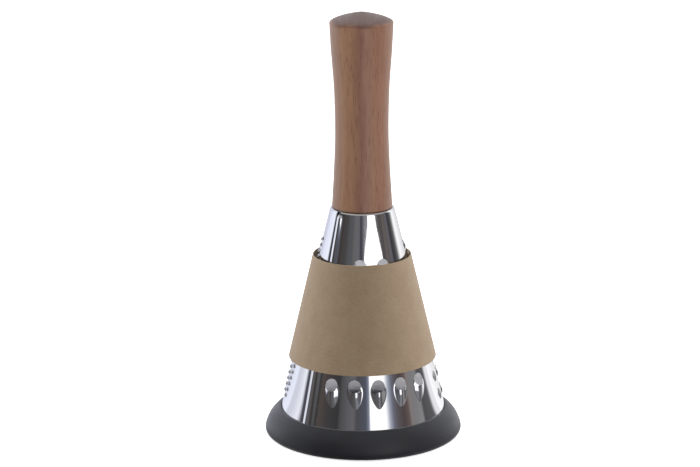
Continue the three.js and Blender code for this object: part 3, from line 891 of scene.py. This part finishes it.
def woodMaterial():
    material, tree, shader = newMaterial("handleWood")
    place = addNode(tree, "ShaderNodeTexCoord").outputs["Object"]
    axes = addNode(tree, "ShaderNodeSeparateXYZ", {"Vector": place}).outputs
    # layers of the board, upright and a little wavy
    wander = noiseOf(tree, objectPlace(tree, (40, 40, 16)), 1, 3, 0.55)
    wavy = mathOf(tree, "MULTIPLY", mathOf(tree, "SUBTRACT", wander, 0.5), handle["wander"])
    half = handle["boardHalf"]
    layer = mathOf(tree, "ADD", axes["X"], wavy)
    layer = rangeOf(tree, layer, (-half * mm, half * mm), (0.0, 1.0))
    stops = [((x + half) / (2 * half), colour) for x, colour in handle["layers"]]
    body = rampOf(tree, layer, stops)
    # long grain
    streaks = noiseOf(tree, objectPlace(tree, (150, 150, 5)), 1, 5, 0.6, 0.4)
    body = mixOf(tree, 1.0, body, rampOf(tree, streaks, handle["streaks"]), "MULTIPLY")
    lines = noiseOf(tree, objectPlace(tree, (620, 620, 16)), 1, 4, 0.65)
    fineGrain = rampOf(tree, lines, handle["grainTones"])
    body = mixOf(tree, handle["grainStrength"], body, fineGrain, "MULTIPLY")
    pores = noiseOf(tree, objectPlace(tree, (1900, 1900, 110), shift=(3, 1, 2)), 1, 1, 0.4)
    poreMask = rampOf(tree, pores, handle["poreMask"])
    poreShare = mathOf(tree, "MULTIPLY", poreMask, handle["poreStrength"])
    body = mixOf(tree, poreShare, body, handle["poreColour"])
    low = rangeOf(tree, axes["Z"], handle["shadeHeights"], handle["shade"])
    body = mixOf(tree, 1.0, body, low, "MULTIPLY")
    # end grain on the dome
    ridge = (handle["bottom"] + handle["length"] - handle["dome"]) * mm
    patches = noiseOf(tree, place, 110, 3)
    uneven = mathOf(tree, "MULTIPLY", patches, handle["uneven"])
    above = mathOf(tree, "ADD", axes["Z"], uneven)
    above = mathOf(tree, "SUBTRACT", above, ridge + handle["endStart"])
    onDome = mathOf(tree, "MULTIPLY", above, handle["edgeSharpness"], True)
    growth = noiseOf(tree, objectPlace(tree, (260, 26, 60), (0, 0, 0.5)), 1, 4, 0.6, 0.3)
    endGrain = rampOf(tree, growth, handle["endGrain"])
    dots = noiseOf(tree, objectPlace(tree), 2400, 2, 0.5)
    endGrain = mixOf(
        tree, rampOf(tree, dots, handle["dotMask"]), endGrain, handle["dotColour"]
    )
    # painted shade round the dome's edge, darkest near the middle
    away = mathOf(tree, "ABSOLUTE", mathOf(tree, "SUBTRACT", above, handle["edgeShadeRise"]))
    away = mathOf(tree, "MULTIPLY", away, handle["edgeSharpness"], True)
    nearEdge = mathOf(tree, "SUBTRACT", 1.0, away)
    edgeShade = mathOf(tree, "MULTIPLY", nearEdge, rampOf(tree, patches, handle["edgeShadeMask"]))
    aside = mathOf(tree, "ABSOLUTE", mathOf(tree, "ADD", axes["X"], handle["edgeShadeShift"]))
    fade = rangeOf(tree, aside, handle["edgeShadeReach"], handle["edgeShadeShares"])
    edgeShade = mathOf(tree, "MULTIPLY", edgeShade, fade)
    body = mixOf(tree, edgeShade, body, handle["edgeShadeBody"])
    endGrain = mixOf(tree, edgeShade, endGrain, handle["edgeShadeEnd"])
    tree.links.new(mixOf(tree, onDome, body, endGrain), shader.inputs["Base Color"])
    roughen(tree, shader, lines, handle["roughness"])
    relief = bumpOf(tree, lines, 0.3, 0.00006)
    dents = mathOf(tree, "SUBTRACT", 1.0, poreMask)
    tree.links.new(bumpOf(tree, dents, 0.5, 0.00008, relief), shader.inputs["Normal"])
    setInputs(shader, handle["sheen"])
    return material


def turnedWood():
    bottom = handle["bottom"]
    top = bottom + handle["length"]
    ridge = top - handle["dome"]
    head = handle["radii"][-1][1]
    low = bottom + handle["edge"]
    shape = [(radius, low + (ridge - low) * share) for share, radius in handle["radii"]]
    flank = smoothCurve(shape, handle["flankSteps"])
    shoulder, crown = handle["domePowers"]
    dome = []
    for i in range(handle["domeSteps"] + 1):
        share = sin(pi / 2 * i / handle["domeSteps"])
        dome.append((head * (1 - share**shoulder) ** crown, ridge + handle["dome"] * share))
    points = [
        (0, bottom + handle["boreLength"]),
        (handle["boreRadius"], bottom + handle["boreLength"]),
        (handle["boreRadius"], bottom + handle["recess"]),
        (handle["recessRadius"], bottom + handle["recess"]),
        (handle["recessRadius"], bottom),
        (handle["radii"][0][1] - handle["edge"], bottom),
        *flank,
        *dome[1:-1],
        (0, top),
    ]
    return turnedPiece(points, handle["steps"], handle["rounding"], closed=False)


makePiece(
    turnedWood(), "turnedHandle", [woodMaterial()], "grater", ["wood_handle"]
)

# card sleeve
print("stage: sleeve")
sleeve = {
    "card": 0.5,
    "bottom": 44.5,
    "top": 103.0,
    "bottomRadius": 41.24,
    "topRadius": 27.34,
    "shift": -0.25,
    "start": radians(160),
    "lap": radians(18),
    "step": radians(10),
    "glue": 0.1,
    "around": 260,
    "upright": 30,
    "sharp": radians(40),
    "tones": ((0.3, (0.305, 0.219, 0.137)), (0.7, (0.348, 0.255, 0.164))),
    "fibreTones": ((0.35, grey(0.88)), (0.68, grey(1.10))),
    "fibreStrength": 0.8,
    "fleckMask": ((0.66, grey(0)), (0.74, grey(0.45))),
    "fleckColour": (0.13, 0.085, 0.05),
    "reliefStrength": 0.35,
    "reliefDepth": 0.00008,
    "sheen": {
        "Roughness": 0.82,
        "Specular IOR Level": 0.3,
        "Sheen Weight": 0.2,
        "Sheen Roughness": 0.6,
    },
}


def kraftMaterial():
    material, tree, shader = newMaterial("kraftCard")
    cloud = noiseOf(tree, objectPlace(tree), 120, 5, 0.65)
    colour = rampOf(tree, cloud, sleeve["tones"])
    fibres = noiseOf(tree, objectPlace(tree, (500, 500, 2600), (0.3, 0.2, 0)), 1, 3, 0.7)
    light = rampOf(tree, fibres, sleeve["fibreTones"])
    colour = mixOf(tree, sleeve["fibreStrength"], colour, light, "MULTIPLY")
    flecks = noiseOf(tree, objectPlace(tree, (2600, 2600, 700), (0, 0.5, 0.4)), 1, 2, 0.5)
    dark = rampOf(tree, flecks, sleeve["fleckMask"])
    colour = mixOf(tree, dark, colour, sleeve["fleckColour"])
    tree.links.new(colour, shader.inputs["Base Color"])
    setInputs(shader, sleeve["sheen"])
    relief = bumpOf(tree, fibres, sleeve["reliefStrength"], sleeve["reliefDepth"])
    tree.links.new(relief, shader.inputs["Normal"])
    return material


def rolledCard():
    bm = bmesh.new()
    back = bm.verts.layers.float_vector.new("back")
    bmesh.ops.create_grid(
        bm, x_segments=sleeve["around"], y_segments=sleeve["upright"], size=1
    )
    turn = 2 * pi + sleeve["lap"]
    for vert in bm.verts:
        along, up = (vert.co.x + 1) / 2, (vert.co.y + 1) / 2
        turned = turn * along
        climb = smoothStep((turned - (2 * pi - sleeve["step"])) / sleeve["step"])
        lift = (sleeve["card"] + sleeve["glue"]) * climb
        radius = sleeve["bottomRadius"] + (sleeve["topRadius"] - sleeve["bottomRadius"]) * up
        height = sleeve["bottom"] + (sleeve["top"] - sleeve["bottom"]) * up
        angle = sleeve["start"] + turned
        shift = Vector((sleeve["shift"], 0, 0))
        vert.co = roundPlace(radius + lift, angle, height) + shift
        vert[back] = roundPlace(radius + lift - sleeve["card"], angle, height) + shift
    thicken(bm, back)
    for face in bm.faces:
        face.material_index = 0
    return bm


kraftSleeve = makePiece(
    rolledCard(), "kraftSleeve", [kraftMaterial()], "sleeve", ["paper_sleeve"]
)
kraftSleeve.data.set_sharp_from_angle(angle=sleeve["sharp"])

# fastening inside the cone
print("stage: fastening")


def plainMetal(name, colour, roughness):
    material, tree, shader = newMaterial(name)
    setInputs(shader, {"Base Color": (*colour, 1), "Metallic": 1})
    cloud = noiseOf(tree, objectPlace(tree), 400, 4, 0.6)
    roughen(tree, shader, cloud, ((0.3, roughness * 0.8), (0.7, roughness * 1.25)))
    tree.links.new(bumpOf(tree, cloud, 0.2, 0.00002), shader.inputs["Normal"])
    return material


platedSteel = plainMetal("platedSteel", (0.62, 0.63, 0.65), 0.3)
insertBrass = plainMetal("insertBrass", (0.72, 0.52, 0.24), 0.32)
for nodeName, metal in (
    ("top_plate", platedSteel),
    ("flat_washer", platedSteel),
    ("spring_washer", platedSteel),
    ("handle_screw", platedSteel),
    ("threaded_insert", insertBrass),
):
    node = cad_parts[nodeName]
    node.data.materials.clear()
    node.data.materials.append(metal)

# a white floor that only the camera sees, and a painted room that the camera doesn't see
print("stage: studio")
studio = {
    "floorSize": 12.0,
    "floorColour": (0.9, 0.9, 0.9, 1),
    "floorRoughness": 0.8,
    "floorGlow": 0.62,
    "under": 0.0005,
    "wallRadius": 3.2,
    "wallHigh": 2.6,
    "floorFade": (0.0, 0.14),
    "upperCone": (0.0, 0.05),  # between these heights the mirrored room changes
    "climbShare": 1.02,
    "stripHeights": (0.0722, 0.1387),
    "stripLefts": (radians(4), radians(17.3)),
    "stripRights": (radians(56.8), radians(44.7)),
    "stripSoft": 60,
    "stripGlow": 1.8,
    "world": 0.42,
    "areaLights": (  # name, place, size and watts
        ("leftLight", (-2.0, 0.5, 0.7), (1.4, 1.2), 38),
        ("rightLight", (2.0, 0.4, 0.7), (1.4, 1.2), 34),
        ("frontLight", (0.3, -2.2, 1.2), (1.2, 1.2), 17),
        ("topLight", (0, 0.2, 2.2), (2.0, 2.0), 18),
    ),
    "lightTarget": (0, 0, 0.11),
    "insideLight": ("insideLight", (0, 0, 0.05), 0.1, 0.01),
}
bpy.context.scene.view_settings.view_transform = "Standard"

# What the room shows: the angle from the front in degrees, and the light there. The lower
# cone mirrors the first two, floorBands from close to the floor, and the upper cone the
# third. Every stop was set by comparing renders with the photograph.
lowerBands = (
    (-180, (0.35, 0.35, 0.38)),
    (-124, (0.80, 0.82, 0.92)),
    (-112, (0.86, 0.88, 0.98)),
    (-101, (1.15, 1.17, 1.27)),
    (-98, (0.6, 0.62, 0.68)),
    (-96, (0.09, 0.095, 0.12)),
    (-90.5, (0.07, 0.07, 0.08)),
    (-89, (0.14, 0.135, 0.138)),
    (-72, (0.10, 0.092, 0.09)),
    (-62, (0.085, 0.07, 0.064)),
    (-52, (0.06, 0.056, 0.056)),
    (-36, (0.045, 0.045, 0.048)),
    (-33, (0.085, 0.085, 0.085)),
    (-22, (0.13, 0.13, 0.14)),
    (-14, (0.15, 0.145, 0.155)),
    (-9, (0.085, 0.085, 0.095)),
    (4, (0.095, 0.105, 0.14)),
    (8.5, (0.27, 0.29, 0.37)),
    (10.5, grey(1.5)),
    (31, grey(1.5)),
    (38.5, (0.42, 0.45, 0.54)),
    (44, (0.17, 0.175, 0.22)),
    (50, (0.12, 0.108, 0.118)),
    (60, (0.09, 0.07, 0.068)),
    (68, (0.15, 0.11, 0.105)),
    (71.5, (0.26, 0.23, 0.22)),
    (78, (0.235, 0.23, 0.235)),
    (90, (0.25, 0.25, 0.255)),
    (95, (0.09, 0.09, 0.095)),
    (109, (0.13, 0.13, 0.135)),
    (113, (1.0, 1.0, 1.02)),
    (180, (0.45, 0.45, 0.48)),
)
floorBands = (
    (-180, (0.5, 0.5, 0.53)),
    (-164, (0.72, 0.73, 0.82)),
    (-112, (0.75, 0.77, 0.87)),
    (-101, (1.0, 1.02, 1.1)),
    (-98, (0.6, 0.62, 0.68)),
    (-96, (0.09, 0.095, 0.12)),
    (-90.5, (0.07, 0.07, 0.08)),
    (-89, (0.12, 0.115, 0.118)),
    (-60, (0.08, 0.075, 0.072)),
    (-20, (0.12, 0.118, 0.122)),
    (6, (0.14, 0.14, 0.16)),
    (13, (0.24, 0.24, 0.27)),
    (34, (0.24, 0.24, 0.27)),
    (42, (0.14, 0.14, 0.16)),
    (62, (0.11, 0.10, 0.098)),
    (76, (0.30, 0.295, 0.30)),
    (92, (0.30, 0.30, 0.31)),
    (95, (0.09, 0.09, 0.095)),
    (109, (0.13, 0.13, 0.135)),
    (113, (0.95, 0.95, 0.97)),
    (164, (0.85, 0.85, 0.9)),
    (180, (0.5, 0.5, 0.53)),
)
upperBands = (
    (-180, (0.35, 0.35, 0.38)),
    (-164, (0.74, 0.75, 0.88)),
    (-140, (0.72, 0.74, 0.88)),
    (-128, (0.92, 0.96, 1.1)),
    (-104.5, (1.05, 1.09, 1.22)),
    (-102, (0.6, 0.62, 0.68)),
    (-100, (0.06, 0.062, 0.072)),
    (-89, (0.04, 0.04, 0.045)),
    (-82, (0.085, 0.083, 0.085)),
    (-68, (0.046, 0.04, 0.042)),
    (-60, (0.072, 0.063, 0.06)),
    (-48, (0.075, 0.07, 0.073)),
    (-40, (0.10, 0.104, 0.107)),
    (-30, (0.11, 0.112, 0.12)),
    (-22, (0.155, 0.153, 0.158)),
    (-9, (0.155, 0.152, 0.172)),
    (-6, (0.068, 0.066, 0.082)),
    (-2, (0.07, 0.068, 0.084)),
    (2, (0.15, 0.145, 0.165)),
    (9, (0.24, 0.235, 0.26)),
    (40, (0.22, 0.21, 0.22)),
    (54, (0.10, 0.092, 0.095)),
    (64, (0.10, 0.088, 0.092)),
    (70, (0.158, 0.135, 0.122)),
    (76, (0.13, 0.114, 0.112)),
    (86, (0.155, 0.148, 0.165)),
    (90, (0.055, 0.053, 0.063)),
    (100, (0.07, 0.07, 0.075)),
    (109, (0.21, 0.215, 0.205)),
    (114, (0.75, 0.75, 0.75)),
    (121, (1.2, 1.2, 1.2)),
    (180, (0.45, 0.45, 0.48)),
)


def stageObject(bm, name, material):
    mesh = bpy.data.meshes.new(name)
    bm.to_mesh(mesh)
    bm.free()
    mesh.materials.append(material)
    thing = bpy.data.objects.new(name, mesh)
    bpy.context.scene.collection.objects.link(thing)
    return thing


def bandsOf(tree, share, bands):
    # a colour ramp holds 32 stops at most
    return rampOf(tree, share, [((angle + 180) / 360, colour) for angle, colour in bands])


def roomMaterial():
    material, tree, shader = newMaterial("mirroredRoom")
    tree.nodes.remove(shader)
    place = addNode(tree, "ShaderNodeTexCoord").outputs["Object"]
    axes = addNode(tree, "ShaderNodeSeparateXYZ", {"Vector": place}).outputs
    turn = mathOf(tree, "ARCTAN2", axes["X"], mathOf(tree, "MULTIPLY", axes["Y"], -1.0))
    share = mathOf(tree, "ADD", mathOf(tree, "DIVIDE", turn, 2 * pi), 0.5)
    # how far above the floor the cone mirrors this place towards the front
    rise = 2 * sin(coneAngle) * cos(coneAngle - view["elevation"])
    climb = mathOf(tree, "COSINE", mathOf(tree, "DIVIDE", turn, 2.0))
    climb = mathOf(tree, "MULTIPLY", climb, rise)
    climb = mathOf(tree, "SUBTRACT", climb, sin(view["elevation"]))
    climb = mathOf(tree, "MULTIPLY", climb, studio["climbShare"])
    reach = mathOf(tree, "MULTIPLY", climb, studio["wallRadius"])
    height = mathOf(tree, "SUBTRACT", axes["Z"], reach)
    left = rangeOf(tree, height, studio["stripHeights"], studio["stripLefts"])
    right = rangeOf(tree, height, studio["stripHeights"], studio["stripRights"])
    fromLeft = mathOf(tree, "SUBTRACT", turn, left)
    fromRight = mathOf(tree, "SUBTRACT", right, turn)
    inside = mathOf(tree, "MINIMUM", fromLeft, fromRight)
    inside = mathOf(tree, "MULTIPLY", inside, studio["stripSoft"], True)
    upper = bandsOf(tree, share, upperBands)
    upper = mixOf(tree, inside, upper, grey(studio["stripGlow"]))
    lower = bandsOf(tree, share, lowerBands)
    ground = bandsOf(tree, share, floorBands)
    above = rangeOf(tree, axes["Z"], studio["floorFade"], (0.0, 1.0), "SMOOTHSTEP")
    lower = mixOf(tree, above, ground, lower)
    change = rangeOf(tree, height, studio["upperCone"], (0.0, 1.0), "SMOOTHSTEP")
    glow = addNode(tree, "ShaderNodeEmission", {"Color": mixOf(tree, change, lower, upper)})
    output = tree.nodes["Material Output"]
    tree.links.new(glow.outputs[0], output.inputs["Surface"])
    return material


def floorPlane():
    material, tree, shader = newMaterial("paleFloor")
    setInputs(shader, {"Base Color": studio["floorColour"], "Roughness": studio["floorRoughness"]})
    setInputs(shader, {"Emission Color": (1, 1, 1, 1), "Emission Strength": studio["floorGlow"]})
    bm = bmesh.new()
    bmesh.ops.create_grid(bm, x_segments=1, y_segments=1, size=studio["floorSize"])
    floor = stageObject(bm, "paleFloor", material)
    floor.visible_diffuse = False
    floor.visible_glossy = False


def paintedRoom():
    bm = bmesh.new()
    wall, under = studio["wallRadius"], -studio["under"]
    spinProfile(bm, [(0, under), (wall, under), (wall, studio["wallHigh"])], 128)
    bmesh.ops.remove_doubles(bm, verts=bm.verts, dist=1e-5)
    room = stageObject(bm, "mirroredRoom", roomMaterial())
    room.visible_camera = False
    room.visible_shadow = False
    room.visible_transmission = False


def addLamp(data, place):
    lamp = bpy.data.objects.new(data.name, data)
    lamp.location = place
    lamp.visible_glossy = False
    lamp.visible_camera = False
    bpy.context.scene.collection.objects.link(lamp)
    return lamp


def areaLight(name, place, size, watts):
    data = bpy.data.lights.new(name, "AREA")
    data.shape = "RECTANGLE"
    data.size, data.size_y = size
    data.energy = watts
    away = Vector(place) - Vector(studio["lightTarget"])
    addLamp(data, place).rotation_euler = away.to_track_quat("Z", "Y").to_euler()


def pointLight(name, place, watts, softness):
    data = bpy.data.lights.new(name, "POINT")
    data.energy = watts
    data.shadow_soft_size = softness
    addLamp(data, place)


floorPlane()
paintedRoom()
world = bpy.context.scene.world or bpy.data.worlds.new("studioWorld")
bpy.context.scene.world = world
world.use_nodes = True
background = world.node_tree.nodes["Background"]
setInputs(background, {"Color": (1, 1, 1, 1), "Strength": studio["world"]})
for light in studio["areaLights"]:
    areaLight(*light)
pointLight(*studio["insideLight"])
